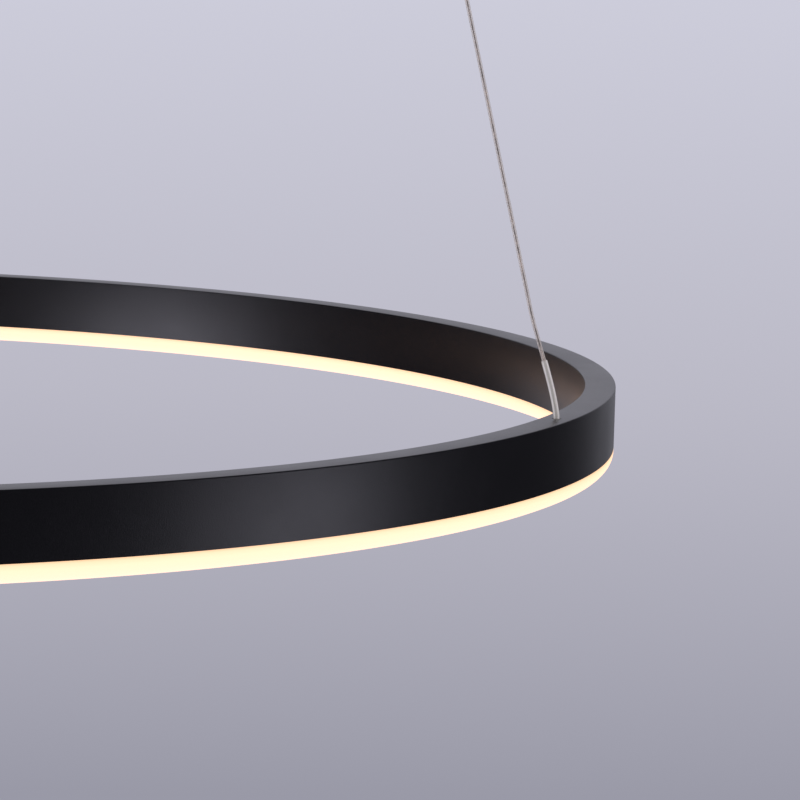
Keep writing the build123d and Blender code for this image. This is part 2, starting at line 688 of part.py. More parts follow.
# Side screws: heads on the canopy's wall, shanks through it into the bracket's ears
with BuildPart() as side_screws:
    for side in (-1, 1):
        with BuildSketch(Plane.XZ.offset(side * CANOPY_DIAMETER / 2)):
            with Locations((0, -SIDE_SCREW_DROP)):
                Circle(SIDE_SCREW_HEAD_DIAMETER / 2)
        extrude(amount=side * SIDE_SCREW_HEAD_HEIGHT)
        with BuildSketch(Plane.XZ.offset(side * CANOPY_DIAMETER / 2)):
            with Locations((0, -SIDE_SCREW_DROP)):
                Circle(SIDE_SCREW_DIAMETER / 2)
        extrude(amount=-side * SIDE_SCREW_LENGTH)
    outer_faces = (side_screws.faces().sort_by(Axis.Y)[0], side_screws.faces().sort_by(Axis.Y)[-1])
    fillet([edge for face in outer_faces for edge in face.edges()], SIDE_SCREW_EDGE)
keep(side_screws.part, "side_screws")

# Earth screw under the strap
with BuildPart() as earth_screw:
    with BuildSketch(Plane.XY.offset(-BRACKET_THICKNESS)):
        with Locations((0, EARTH_SCREW_OFFSET)):
            Circle(EARTH_SCREW_HEAD_DIAMETER / 2)
    extrude(amount=-EARTH_SCREW_HEAD_HEIGHT)
    fillet(earth_screw.edges().sort_by(Axis.Z)[0], EARTH_SCREW_EDGE)
    with BuildSketch(Plane.XY.offset(-BRACKET_THICKNESS)):
        with Locations((0, EARTH_SCREW_OFFSET)):
            Circle(EARTH_SCREW_DIAMETER / 2)
    extrude(amount=BRACKET_THICKNESS)
keep(earth_screw.part, "earth_screw")

# Driver case: tray with end windows for the terminals, rails for the circuit and two tabs
case_end = DRIVER_LENGTH / 2
stud_offset = case_end + TAB_LENGTH / 2
inner_length = DRIVER_LENGTH - 2 * DRIVER_WALL
inner_width = DRIVER_WIDTH - 2 * DRIVER_WALL
inner_corner = DRIVER_CORNER - DRIVER_WALL
with BuildPart() as driver_case:
    with BuildSketch(Plane.XY.offset(canopy_floor)):
        RectangleRounded(DRIVER_LENGTH, DRIVER_WIDTH, DRIVER_CORNER)
    extrude(amount=DRIVER_HEIGHT)
    offset(amount=-DRIVER_WALL, openings=driver_case.faces().sort_by(Axis.Z)[-1])
    with BuildSketch(Plane.XY.offset(canopy_floor)):
        with GridLocations(2 * stud_offset, TAB_WIDTH, 2, 1):
            Rectangle(TAB_LENGTH, TAB_WIDTH)
            Circle(STUD_DIAMETER / 2 + HOLE_CLEARANCE, mode=Mode.SUBTRACT)
    extrude(amount=TAB_THICKNESS)
    with BuildSketch(Plane.XY.offset(canopy_floor + DRIVER_WALL)):
        with GridLocations(inner_length, RAIL_SPACING, 1, 2):
            Rectangle(inner_length, RAIL_WIDTH)
    extrude(amount=RAIL_HEIGHT)
    for side, poles in ((-1, INPUT_POLES), (1, OUTPUT_POLES)):
        window_width = poles * TERMINAL_PITCH + 2 * (TERMINAL_END + DRIVER_CLEARANCE)
        window_height = TERMINAL_HEIGHT + DRIVER_CLEARANCE
        with BuildSketch(Plane.YZ.offset(side * case_end)):
            with Locations((0, circuit_top + window_height / 2)):
                Rectangle(window_width, window_height)
        extrude(amount=-side * DRIVER_WALL, mode=Mode.SUBTRACT)
keep(driver_case.part, "driver_case")

# Driver lid: flat cover with a lip inside the case
with BuildPart() as driver_lid:
    lip_length = inner_length - 2 * DRIVER_CLEARANCE
    lip_width = inner_width - 2 * DRIVER_CLEARANCE
    with BuildSketch(Plane.XY.offset(case_top)):
        RectangleRounded(DRIVER_LENGTH, DRIVER_WIDTH, DRIVER_CORNER)
    extrude(amount=DRIVER_LID_THICKNESS)
    chamfer(driver_lid.faces().sort_by(Axis.Z)[-1].edges(), DRIVER_LID_EDGE)
    with BuildSketch(Plane.XY.offset(case_top)):
        RectangleRounded(lip_length, lip_width, inner_corner)
        Rectangle(lip_length - 2 * DRIVER_WALL, lip_width - 2 * DRIVER_WALL, mode=Mode.SUBTRACT)
    extrude(amount=-DRIVER_LID_LIP)
keep(driver_lid.part, "driver_lid")

# Driver circuit: board on the rails, with a transformer and two capacitors
with BuildPart() as driver_circuit:
    board_length = inner_length - 2 * DRIVER_CLEARANCE
    board_width = inner_width - 2 * DRIVER_CLEARANCE
    with BuildSketch(Plane.XY.offset(circuit_bottom)):
        RectangleRounded(board_length, board_width, inner_corner)
    extrude(amount=CIRCUIT_THICKNESS)
    with BuildSketch(Plane.XY.offset(circuit_top)):
        Rectangle(TRANSFORMER_LENGTH, TRANSFORMER_WIDTH)
    extrude(amount=TRANSFORMER_HEIGHT)
    with BuildSketch(Plane.XY.offset(circuit_top)):
        with GridLocations(2 * CAPACITOR_OFFSET, CAPACITOR_OFFSET, 2, 1):
            Circle(CAPACITOR_DIAMETER / 2)
    extrude(amount=CAPACITOR_HEIGHT)
keep(driver_circuit.part, "driver_circuit")

# Screw terminals at the ends of the circuit: mains in at one end, low voltage out at the other
for node, side, poles in (("input_terminal", -1, INPUT_POLES), ("output_terminal", 1, OUTPUT_POLES)):
    terminal_middle = side * (case_end - TERMINAL_DEPTH / 2)
    with BuildPart() as terminal:
        with BuildSketch(Plane.XY.offset(circuit_top)):
            with Locations((terminal_middle, 0)):
                Rectangle(TERMINAL_DEPTH, poles * TERMINAL_PITCH + 2 * TERMINAL_END)
        extrude(amount=TERMINAL_HEIGHT)
        with BuildSketch(Plane.YZ.offset(side * case_end)):
            with Locations((0, lead_height)):
                with GridLocations(TERMINAL_PITCH, TERMINAL_PITCH, poles, 1):
                    Circle(TERMINAL_ENTRY / 2)
        extrude(amount=-side * TERMINAL_ENTRY_DEPTH, mode=Mode.SUBTRACT)
        with BuildSketch(Plane.XY.offset(circuit_top + TERMINAL_HEIGHT)):
            with Locations((terminal_middle, 0)):
                with GridLocations(TERMINAL_PITCH, TERMINAL_PITCH, 1, poles):
                    Circle(TERMINAL_SCREW / 2)
        extrude(amount=-TERMINAL_SCREW_DEPTH, mode=Mode.SUBTRACT)
    keep(terminal.part, node)

# Weld studs on the canopy's floor, and the nuts that hold the driver's tabs
with BuildPart() as driver_studs:
    with BuildSketch(Plane.XY.offset(canopy_floor)):
        with GridLocations(2 * stud_offset, TAB_WIDTH, 2, 1):
            Circle(STUD_DIAMETER / 2)
    extrude(amount=STUD_LENGTH)
keep(driver_studs.part, "driver_studs")

with BuildPart() as driver_nuts:
    with BuildSketch(Plane.XY.offset(canopy_floor + TAB_THICKNESS)):
        with GridLocations(2 * stud_offset, TAB_WIDTH, 2, 1):
            RegularPolygon(STUD_NUT_FLATS / 2, 6, major_radius=False)
            Circle(STUD_DIAMETER / 2 + THREAD_CLEARANCE, mode=Mode.SUBTRACT)
    extrude(amount=STUD_NUT_HEIGHT)
keep(driver_nuts.part, "driver_nuts")

# Output leads: out of the terminal, along the canopy's floor, up into the caps
lead_end = Vector(lead_radius, 0, lead_height)
far_end = lead_end.rotate(Axis.Z, wire_angles[-1])
lead_turn = case_end + LEAD_STRAIGHT
output_leads = (
    (
        "output_lead_positive",
        TERMINAL_PITCH / 2,
        [Vector(lead_turn + LEAD_STRAIGHT, 0, lead_height), lead_end],
    ),
    (
        "output_lead_negative",
        -TERMINAL_PITCH / 2,
        [Vector(lead_turn, -LEAD_TURN, lead_height), far_end],
    ),
)
for node, pole, route in output_leads:
    with BuildPart() as output_lead:
        lead_start = Vector(case_end - LEAD_START, pole, lead_height)
        with BuildLine():
            FilletPolyline(
                lead_start,
                Vector(lead_turn, pole, lead_height),
                *route,
                Vector(route[-1].X, route[-1].Y, tail_top),
                radius=LEAD_BEND,
            )
        with BuildSketch(Plane(origin=lead_start, z_dir=(1, 0, 0))):
            Circle(LEAD_DIAMETER / 2)
        sweep()
    keep(output_lead.part, node)
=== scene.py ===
import json
from math import atan2, cos, floor, hypot, pi, radians, sin, tan

import bpy
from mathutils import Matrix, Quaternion, Vector


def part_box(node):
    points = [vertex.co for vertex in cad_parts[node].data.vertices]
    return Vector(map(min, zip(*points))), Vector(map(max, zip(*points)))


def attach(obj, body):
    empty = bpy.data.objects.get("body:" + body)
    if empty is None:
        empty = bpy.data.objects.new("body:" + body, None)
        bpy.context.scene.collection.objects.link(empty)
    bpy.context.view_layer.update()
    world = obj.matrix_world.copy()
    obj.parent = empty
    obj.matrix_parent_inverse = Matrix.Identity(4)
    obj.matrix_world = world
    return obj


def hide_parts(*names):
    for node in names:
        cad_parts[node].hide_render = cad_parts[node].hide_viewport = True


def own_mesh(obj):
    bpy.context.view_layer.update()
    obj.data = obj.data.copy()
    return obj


# Ring pendant light: a slim black ring with a glowing underside, hung on three clear wires.
# Metres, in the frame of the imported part: the origin is on the ceiling, +Z is up, and the
# first wire stands towards +X.

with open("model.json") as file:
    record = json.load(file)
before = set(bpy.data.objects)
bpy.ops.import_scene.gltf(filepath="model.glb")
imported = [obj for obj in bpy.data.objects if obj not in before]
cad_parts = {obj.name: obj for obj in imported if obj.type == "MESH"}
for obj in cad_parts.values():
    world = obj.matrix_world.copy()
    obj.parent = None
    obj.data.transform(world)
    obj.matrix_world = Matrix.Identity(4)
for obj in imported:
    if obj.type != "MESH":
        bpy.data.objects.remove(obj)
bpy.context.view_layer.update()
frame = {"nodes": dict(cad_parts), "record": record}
nodes = frame["nodes"]

# Meshes
START_PLANE = 0.001
MERGE_DISTANCE = 0.000002
EDGE_STEPS = 4
HOLE_SIDES = 48
SMOOTH_ANGLE = radians(30.0)
TUBE_SMOOTH_ANGLE = radians(40.0)
STRAND_SMOOTH_ANGLE = radians(60.0)
KNURL_SMOOTH_ANGLE = radians(20.0)

# Finishes: how their patterns are scaled, and where a clear tube's wall turns to its rim
NOISE_MEAN = 0.5
SCRATCHES_TO_PATCHES = 40
GRAIN_TO_CLOUDS = 60
MOULD_GRAIN = 3000.0
RIM_BAND = (0.0, 0.28)

# Ring profile
PROFILE_WIDTH = 0.010
PROFILE_EDGE = 0.0004
SIDE_WALL = 0.0012
TOP_WALL = 0.0015
WIRE_CHAMBER_HEIGHT = 0.0095
WEB_THICKNESS = 0.0012
RIB_DEPTH = 0.0005
RIB_HEIGHT = 0.001
RIB_ABOVE_RIM = 0.0016
WIRE_HOLE = 0.0032
PORT = 0.006
RING_STEPS = 360

# Diffuser
DOME_WALL = 0.0014
LEG_THICKNESS = 0.0009
LEG_CLEARANCE = 0.0001
BARB_HEIGHT = 0.001
DOME_ARC_STEPS = 20

# Wires: routes of the first one, as radius from the middle and height
WIRE_COUNT = 3
WIRE_ROUTE = (
    (0.3000, -0.7187),
    (0.3000, -0.7120),
    (0.2915, -0.6870),
    (0.2895, -0.6790),
    (0.1369, -0.0716),
    (0.1350, -0.0640),
    (0.1350, -0.0560),
)
TAIL_ROUTE = ((0.1350, -0.0560), (0.1350, -0.0400), (0.1350, -0.0181))
TAIL_CORE_ROUTE = ((0.1350, -0.0560), (0.1350, -0.0400), (0.1350, -0.0151))
FOOT_CORE_ROUTE = ((0.3000, -0.7239), (0.3000, -0.7214), (0.3000, -0.7189))
SLEEVE_ROUTE = ((0.3000, -0.7170), (0.3000, -0.7120), (0.29541, -0.6985))
ROUTE_ORDER = 3
LINE_STEPS = 48
JACKET_DIAMETER = 0.0013
JACKET_BORE = 0.00054
SLEEVE_DIAMETER = 0.0019
SLEEVE_BORE = 0.0014
TUBE_ROUND = 6
CORE_DIAMETER = 0.0005
STRAND_COUNT = 6
STRANDS_ACROSS = 3
STRAND_LAY = 0.0085
STRAND_STEPS = 12
STRAND_ROUND = 1

# Wire grippers: knurled body and the spring inside it
GRIPPER_DIAMETER = 0.012
GRIPPER_EDGE = 0.0008
SOCKET_RADIUS = 0.00405
SOCKET_DEPTH = 0.004
SPRING_CHAMBER_RADIUS = 0.0035
GUIDE_RADIUS = 0.0021
CONE_TOP_RADIUS = 0.0029
CONE_BOTTOM = -0.051566
LEDGE = -0.0478
KNURL_COUNT = 48
KNURL_DEPTH = 0.0002
KNURL_TOP = -0.0405
KNURL_BOTTOM = -0.0515
BAND_TOLERANCE = 0.0002
SPRING_RADIUS = 0.0026
SPRING_WIRE = 0.0005
SPRING_SIDES = 12
SPRING_TURNS = 3
SPRING_STEPS = 32

# Fasteners: threaded stems and their nuts, and the side screws; a thread's depth is in pitches
THREAD_DEPTH = 0.5
THREAD_SLOPE = 1.6
THREAD_STEPS = 12
THREAD_ROUND = 48
STEM_RADIUS = 0.004
STEM_BORE_RADIUS = 0.0009
STEM_LEAD_IN = 0.0006
STEM_PITCH = 0.001
FLANGE_RADIUS = 0.006
FLANGE_TOP = -0.036
FLANGE_BOTTOM = -0.038
NUT_SIDES = 6
NUT_FLATS = 0.013
NUT_BORE_RADIUS = 0.00405
NUT_FACE_RADIUS = 0.0062
NUT_CHAMFER_ANGLE = radians(30.0)
NUT_SPARE = 0.0003
SCREW_RADIUS = 0.002
SCREW_PITCH = 0.0007
SCREW_LENGTH = 0.008
SCREW_LEAD_IN = 0.0004
SCREW_HEAD_RADIUS = 0.004
SCREW_HEAD_HEIGHT = 0.003
SCREW_EDGE = 0.0005
SCREW_FOOT = 0.0003
SCREW_KNURLS = 24
SCREW_SLOT_WIDTH = 0.001
SCREW_SLOT_DEPTH = 0.0011

# Camera of the photograph
EYE_AZIMUTH = radians(29.45)
EYE_DISTANCE = 1.3837
EYE_RISE = 0.166
LOOK_ASIDE = radians(9.755)
LOOK_DOWN = radians(7.292)
EYE_ROLL = 0.0274207
LENS = 187.556
SENSOR = 36.0

# Floor and light
FLOOR_HEIGHT = -2.0
FLOOR_SIZE = 240.0
FLOOR_GLOW = 0.8
FLOOR_BRIGHTNESS = 1.05
POOL_INSIDE = 1.0
POOL_OUTSIDE = 5.5
POOL_BRIGHTNESS = 0.8
SKY = (0.619, 0.612, 0.695, 1.0)
SKY_BRIGHTNESS = 1.0
FILL = 1.25
PALE_HEADING = radians(-26.0)
PALE_SIDE = radians(9.0)
PALE_FADE = radians(46.0)
PALE_BRIGHTNESS = 0.97
DARK_SIDE = 0.05
LAMP_COLOUR = (0.88, 0.86, 1.0)
OVERHEAD_HEADING = radians(-127.0)
OVERHEAD_DISTANCE = 1.0
OVERHEAD_HEIGHT = 1.6
OVERHEAD_SIZE = 2.0
OVERHEAD_BRIGHTNESS = 1.1
BOX_DISTANCE = 2.2
BOX_HEIGHT = -1.0
BOX_SIZE = 0.85
RIGHT_BOX_HEADING = radians(82.0)
RIGHT_BOX_BRIGHTNESS = 1.95
LEFT_BOX_HEADING = radians(-135.5)
LEFT_BOX_BRIGHTNESS = 4.65

ring_low, ring_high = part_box("ring_housing")
ring_outer = ring_high.x
ring_inner = ring_outer - PROFILE_WIDTH
ring_middle = (ring_outer + ring_inner) / 2
ring_top = ring_high.z
ring_bottom = ring_low.z
dome_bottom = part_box("diffuser")[0].z
wire_angles = [2 * pi / WIRE_COUNT * place for place in range(WIRE_COUNT)]


class Value:
    """A shader socket that takes part in sums: each operator adds a Math node."""

    def __init__(self, finish, socket):
        self.finish = finish
        self.socket = socket

    def math(self, operation, *values):
        return self.finish.node("ShaderNodeMath", {"operation": operation}, dict(enumerate(values)))

    def __add__(self, other):
        return self.math("ADD", self, other)

    __radd__ = __add__

    def __sub__(self, other):
        return self.math("SUBTRACT", self, other)

    def __rsub__(self, other):
        return self.math("SUBTRACT", other, self)

    def __mul__(self, other):
        return self.math("MULTIPLY", self, other)

    __rmul__ = __mul__

    def __truediv__(self, other):
        return self.math("DIVIDE", self, other)

    def __rtruediv__(self, other):
        return self.math("DIVIDE", other, self)


class Finish:
    """A material or world while its nodes are made."""

    def __init__(self, owner):
        self.owner = owner
        owner.use_nodes = True
        self.tree = owner.node_tree
        self.tree.nodes.clear()

    def node(self, kind, settings=None, sockets=None, output=0):
        """Add a node: its settings first, then the values or links of its sockets."""
        node = self.tree.nodes.new(kind)
        for name, value in (settings or {}).items():
            if name == "stops":
                set_stops(node.color_ramp, value)
            else:
                setattr(node, name, value)
        for key, value in (sockets or {}).items():
            if isinstance(value, Value):
                self.tree.links.new(value.socket, node.inputs[key])
            else:
                node.inputs[key].default_value = value
        return Value(self, node.outputs[output]) if node.outputs else None

    def place(self):
        return self.node("ShaderNodeTexCoord", output="Object")

    def noise(self, where, scale, detail=2.0, roughness=0.5):
        sockets = {"Vector": where, "Scale": scale, "Detail": detail, "Roughness": roughness}
        return self.node("ShaderNodeTexNoise", {}, sockets)

    def blend(self, factor, first, second):
        return self.node("ShaderNodeMix", {"data_type": "RGBA"}, {0: factor, 6: first, 7: second}, output=2)

    def ramp(self, factor, stops):
        return self.node("ShaderNodeValToRGB", {"stops": stops}, {0: factor})

    def spread(self, value, low, high, new_low=0.0, new_high=1.0):
        sockets = {0: value, 1: low, 2: high, 3: new_low, 4: new_high}
        return self.node("ShaderNodeMapRange", {"interpolation_type": "SMOOTHSTEP"}, sockets)

    def bump(self, height, distance):
        return self.node("ShaderNodeBump", {}, {"Strength": 1.0, "Distance": distance, "Height": height})

    def vector(self, operation, *vectors, output="Vector"):
        settings = {"operation": operation}
        return self.node("ShaderNodeVectorMath", settings, dict(enumerate(vectors)), output)

    def light_path(self, output):
        return self.node("ShaderNodeLightPath", output=output)

    def mix_shaders(self, factor, first, second):
        return self.node("ShaderNodeMixShader", {}, {0: factor, 1: first, 2: second})

    def surface(self, **sockets):
        """Close the material with a Principled shader; underscores in the names stand for spaces."""
        named = {name.replace("_", " "): value for name, value in sockets.items()}
        shader = self.node("ShaderNodeBsdfPrincipled", {}, named)
        self.node("ShaderNodeOutputMaterial", {}, {"Surface": shader})
        return self.owner


def set_stops(ramp, stops):
    """Give a colour ramp its stops, each a position and a colour."""
    while len(ramp.elements) < len(stops):
        ramp.elements.new(1.0)
    for element, (position, colour) in zip(ramp.elements, stops):
        element.position = position
        element.color = colour


def new_finish(name):
    """A material without nodes yet."""
    return Finish(bpy.data.materials.new(name))


def satin_black(name):
    """Fine satin coat on metal: a small grain, and patches a little more or less matt."""
    coat = new_finish(name)
    where = coat.place()
    grain = coat.noise(where, scale=2600.0, detail=3.0)
    patches = coat.noise(where, scale=45.0, detail=3.0)
    return coat.surface(
        Base_Color=coat.blend(patches, (0.0034, 0.0032, 0.0046, 1), (0.0050, 0.0047, 0.0064, 1)),
        Roughness=0.33 + 0.08 * (patches - NOISE_MEAN) + 0.06 * (grain - NOISE_MEAN),
        IOR=1.52,
        Normal=coat.bump(grain, distance=0.00003),
    )


def opal_glow():
    """Opal strip lit from inside: warm white, with painted shade that makes it dimmer and deeper in colour
    next to the profile's rim, where the profile's wall shades the glow.
    """
    opal = new_finish("opal_glow")
    where = opal.place()
    height = opal.node("ShaderNodeSeparateXYZ", {}, {0: where}, output="Z")
    depth = (ring_bottom - height) / (ring_bottom - dome_bottom)
    # Emission colour by depth below the rim: the low stops are painted shade, dimmer where the profile's
    # wall shades the glow.
    glow = opal.ramp(depth, (
        (0.00, (0.60, 0.34, 0.13, 1)),
        (0.12, (0.85, 0.48, 0.25, 1)),
        (0.34, (1.00, 0.56, 0.33, 1)),
        (1.00, (1.00, 0.61, 0.43, 1)),
    ))
    cloud = opal.noise(where, scale=900.0)
    return opal.surface(
        Base_Color=(0.40, 0.38, 0.33, 1),
        Roughness=0.45 + 0.1 * (cloud - NOISE_MEAN),
        Emission_Color=glow,
        Emission_Strength=1.4,
    )


def clear_plastic(name, tint, face_cover, rim_cover):
    """Clear extruded tube: its wall is looked through square on, and covers more at the rim."""
    clear = new_finish(name)
    cloud = clear.noise(clear.place(), scale=700.0)
    slant = clear.node("ShaderNodeLayerWeight", {}, {"Blend": 0.5}, output="Facing")
    return clear.surface(
        Base_Color=tint,
        Roughness=0.12 + 0.08 * cloud,
        IOR=1.47,
        Alpha=clear.spread(slant, *RIM_BAND, face_cover, rim_cover),
    )


def twisted_steel():
    """Tinned strands, uneven in tone along the wire."""
    steel = new_finish("twisted_steel")
    tone = steel.noise(steel.place(), scale=190.0, detail=3.0, roughness=0.6)
    patch = steel.spread(tone, 0.38, 0.60)
    return steel.surface(
        Base_Color=steel.blend(patch, (0.13, 0.11, 0.10, 1), (0.92, 0.82, 0.72, 1)),
        Metallic=0.3,
        Roughness=0.35 + 0.2 * tone,
    )


def plated(name, dark, bright, scale, roughness):
    """Plated metal with soft patches of tone and fine scratches."""
    plate = new_finish(name)
    where = plate.place()
    tone = plate.noise(where, scale, detail=4.0)
    scratch = plate.noise(where, SCRATCHES_TO_PATCHES * scale)
    return plate.surface(
        Base_Color=plate.blend(tone, dark, bright),
        Metallic=1.0,
        Roughness=roughness + 0.15 * (tone - NOISE_MEAN) + 0.08 * (scratch - NOISE_MEAN),
        Normal=plate.bump(scratch, distance=0.00001),
    )


def moulded(name, dark, light, roughness, grain=MOULD_GRAIN):
    """Moulded plastic with a fine spark-eroded grain."""
    plastic = new_finish(name)
    where = plastic.place()
    skin = plastic.noise(where, grain, detail=3.0)
    cloud = plastic.noise(where, grain / GRAIN_TO_CLOUDS)
    return plastic.surface(
        Base_Color=plastic.blend(cloud, dark, light),
        Roughness=roughness + 0.1 * (skin - NOISE_MEAN),
        Normal=plastic.bump(skin, distance=0.00003),
    )


def make_finishes():
    """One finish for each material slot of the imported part."""
    return {
        "ring_black": satin_black("ring_black"),
        "canopy_black": satin_black("canopy_black"),
        "opal": opal_glow(),
        "clear_jacket": clear_plastic(
            "clear_jacket", tint=(0.74, 0.67, 0.58, 1), face_cover=0.08, rim_cover=0.55,
        ),
        "clear_sleeve": clear_plastic(
            "clear_sleeve", tint=(0.98, 0.95, 0.85, 1), face_cover=0.30, rim_cover=0.72,
        ),
        "steel_strand": twisted_steel(),
        "zinc_steel": plated(
            "zinc_plate", dark=(0.50, 0.51, 0.53, 1), bright=(0.68, 0.69, 0.71, 1),
            scale=180.0, roughness=0.32,
        ),
        "yellow_zinc": plated(
            "yellow_zinc", dark=(0.62, 0.45, 0.16, 1), bright=(0.80, 0.66, 0.30, 1),
            scale=300.0, roughness=0.3,
        ),
        "nickel_brass": plated(
            "nickel_plate", dark=(0.50, 0.48, 0.45, 1), bright=(0.66, 0.64, 0.60, 1),
            scale=400.0, roughness=0.22,
        ),
        "ball_steel": plated(
            "ball_steel", dark=(0.70, 0.70, 0.72, 1), bright=(0.82, 0.82, 0.84, 1),
            scale=900.0, roughness=0.1,
        ),
        "spring_steel": plated(
            "spring_steel", dark=(0.38, 0.38, 0.39, 1), bright=(0.52, 0.52, 0.53, 1),
            scale=900.0, roughness=0.3,
        ),
        "tinned_copper": plated(
            "tinned_copper", dark=(0.58, 0.54, 0.49, 1), bright=(0.76, 0.73, 0.69, 1),
            scale=800.0, roughness=0.35,
        ),
        "bush_nylon": moulded(
            "bush_nylon", dark=(0.012, 0.012, 0.012, 1), light=(0.02, 0.02, 0.02, 1), roughness=0.5,
        ),
        "board_white": moulded(
            "board_white", dark=(0.80, 0.80, 0.78, 1), light=(0.87, 0.87, 0.85, 1), roughness=0.35,
        ),
        "led_phosphor": moulded(
            "led_phosphor", dark=(0.86, 0.68, 0.18, 1), light=(0.92, 0.78, 0.30, 1), roughness=0.4,
        ),
        "driver_white": moulded(
            "driver_white", dark=(0.76, 0.76, 0.74, 1), light=(0.82, 0.82, 0.80, 1), roughness=0.42,
            grain=2200.0,
        ),
        "circuit_green": moulded(
            "circuit_green", dark=(0.03, 0.16, 0.07, 1), light=(0.05, 0.22, 0.10, 1), roughness=0.3,
        ),
        "terminal_grey": moulded(
            "terminal_grey", dark=(0.36, 0.37, 0.38, 1), light=(0.45, 0.46, 0.47, 1), roughness=0.45,
        ),
        "lead_red": moulded(
            "lead_red", dark=(0.42, 0.03, 0.02, 1), light=(0.55, 0.05, 0.03, 1), roughness=0.35,
        ),
        "lead_black": moulded(
            "lead_black", dark=(0.02, 0.02, 0.02, 1), light=(0.035, 0.035, 0.035, 1), roughness=0.35,
        ),
        "cap_clear": moulded(
            "cap_milky", dark=(0.70, 0.70, 0.66, 1), light=(0.80, 0.80, 0.76, 1), roughness=0.3,
        ),
    }


def deselect():
    """Leave edit mode, with nothing selected."""
    if bpy.context.object and bpy.context.object.mode != "OBJECT":
        bpy.ops.object.mode_set(mode="OBJECT")
    bpy.ops.object.select_all(action="DESELECT")


def pick(piece):
    """Select one piece alone and make it the active one."""
    deselect()
    piece.select_set(True)
    bpy.context.view_layer.objects.active = piece


def apply_place():
    """Put the selected piece's place, turn and scale into its mesh."""
    bpy.ops.object.transform_apply(location=True, rotation=True, scale=True)


def merge_doubles():
    """Merge all doubles of a mesh in edit mode and point its faces outwards."""
    bpy.ops.mesh.select_all(action="SELECT")
    bpy.ops.mesh.remove_doubles(threshold=MERGE_DISTANCE)
    bpy.ops.mesh.normals_make_consistent(inside=False)


def trace(name, outline, closed=True):
    """Trace an outline of (radius, height) points with extruded edges, from one vertex."""
    deselect()
    radius, height = outline[0]
    bpy.ops.mesh.primitive_plane_add(size=START_PLANE, location=(radius, 0, height))
    piece = bpy.context.object
    piece.name = name
    apply_place()
    bpy.ops.object.mode_set(mode="EDIT")
    bpy.ops.mesh.select_mode(type="VERT")
    bpy.ops.mesh.select_all(action="SELECT")
    bpy.ops.mesh.merge(type="CENTER")
    ends = (*outline[1:], outline[0]) if closed else outline[1:]
    for here, there in zip(outline, ends):
        step = (there[0] - here[0], 0, there[1] - here[1])
        bpy.ops.mesh.extrude_region_move(TRANSFORM_OT_translate={"value": step})
    bpy.ops.mesh.select_all(action="SELECT")
    bpy.ops.mesh.remove_doubles(threshold=MERGE_DISTANCE)
    bpy.ops.object.mode_set(mode="OBJECT")
    return piece


def spin(piece, steps, axis=0.0):
    """Spin a traced outline once round an upright axis and close it."""
    bpy.ops.object.mode_set(mode="EDIT")
    bpy.ops.mesh.select_all(action="SELECT")
    bpy.ops.mesh.spin(steps=steps, angle=2 * pi, center=(axis, 0, 0), axis=(0, 0, 1))
    merge_doubles()
    bpy.ops.object.mode_set(mode="OBJECT")
    return piece


def turn_piece(name, profile, steps, axis=0.0, closed=True):
    """Turned piece: a profile of radii from its axis and heights, spun round it."""
    outline = [(axis + radius, height) for radius, height in profile]
    return spin(trace(name, outline, closed), steps, axis)


def select_where(piece, kind, chosen):
    """Select, in edit mode, the vertices or the faces of a piece that pass a test."""
    bpy.ops.object.mode_set(mode="EDIT")
    bpy.ops.mesh.select_mode(type=kind)
    bpy.ops.mesh.select_all(action="DESELECT")
    bpy.ops.object.mode_set(mode="OBJECT")
    for element in piece.data.vertices if kind == "VERT" else piece.data.polygons:
        element.select = chosen(element)
    bpy.ops.object.mode_set(mode="EDIT")


def smooth(piece, angle=SMOOTH_ANGLE):
    """Shade a piece smooth, apart from edges sharper than an angle."""
    pick(piece)
    bpy.ops.object.shade_smooth_by_angle(angle=angle)


def cut(piece, cutter, operation="DIFFERENCE"):
    """Take a cutter's volume out of a piece, or keep what both share, and delete the cutter."""
    pick(piece)
    boolean = piece.modifiers.new("cut", "BOOLEAN")
    boolean.operation = operation
    boolean.solver = "EXACT"
    boolean.object = cutter
    bpy.ops.object.modifier_apply(modifier=boolean.name)
    bpy.data.objects.remove(cutter)


def hole_cutter(radius, low, high, place):
    """Upright cylinder that cuts one hole."""
    deselect()
    bpy.ops.mesh.primitive_cylinder_add(
        vertices=HOLE_SIDES, radius=radius, depth=high - low, location=(place.x, place.y, (low + high) / 2),
    )
    return bpy.context.object


def arc(middle, centre, radius, start, end, steps):
    """Points on an arc round (middle, centre), both ends included."""
    turns = [start + (end - start) * step / steps for step in range(steps + 1)]
    return [(middle + radius * cos(turn), centre + radius * sin(turn)) for turn in turns]


def at_wire(radius, angle, height=0.0):
    """Point at a radius and height on the side where a wire stands."""
    return Vector((radius * cos(angle), radius * sin(angle), height))


def copies_round(piece, name, angles):
    """A piece at each angle: itself at the first, and copies turned round the middle at the rest."""
    piece.name = f"{name}_1"
    pieces = [piece]
    for number, angle in enumerate(angles[1:], start=2):
        pick(piece)
        bpy.ops.object.duplicate()
        twin = bpy.context.object
        twin.name = f"{name}_{number}"
        twin.rotation_euler.z = angle
        apply_place()
        pieces.append(twin)
    return pieces


def dress(piece, finish):
    """Give a piece one finish all over."""
    piece.data.materials.clear()
    piece.data.materials.append(finish)


def hand_over(piece, slot, body, node=None):
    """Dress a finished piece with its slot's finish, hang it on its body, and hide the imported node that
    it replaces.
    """
    dress(piece, finishes[slot])
    if node:
        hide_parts(node)
    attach(piece, body)


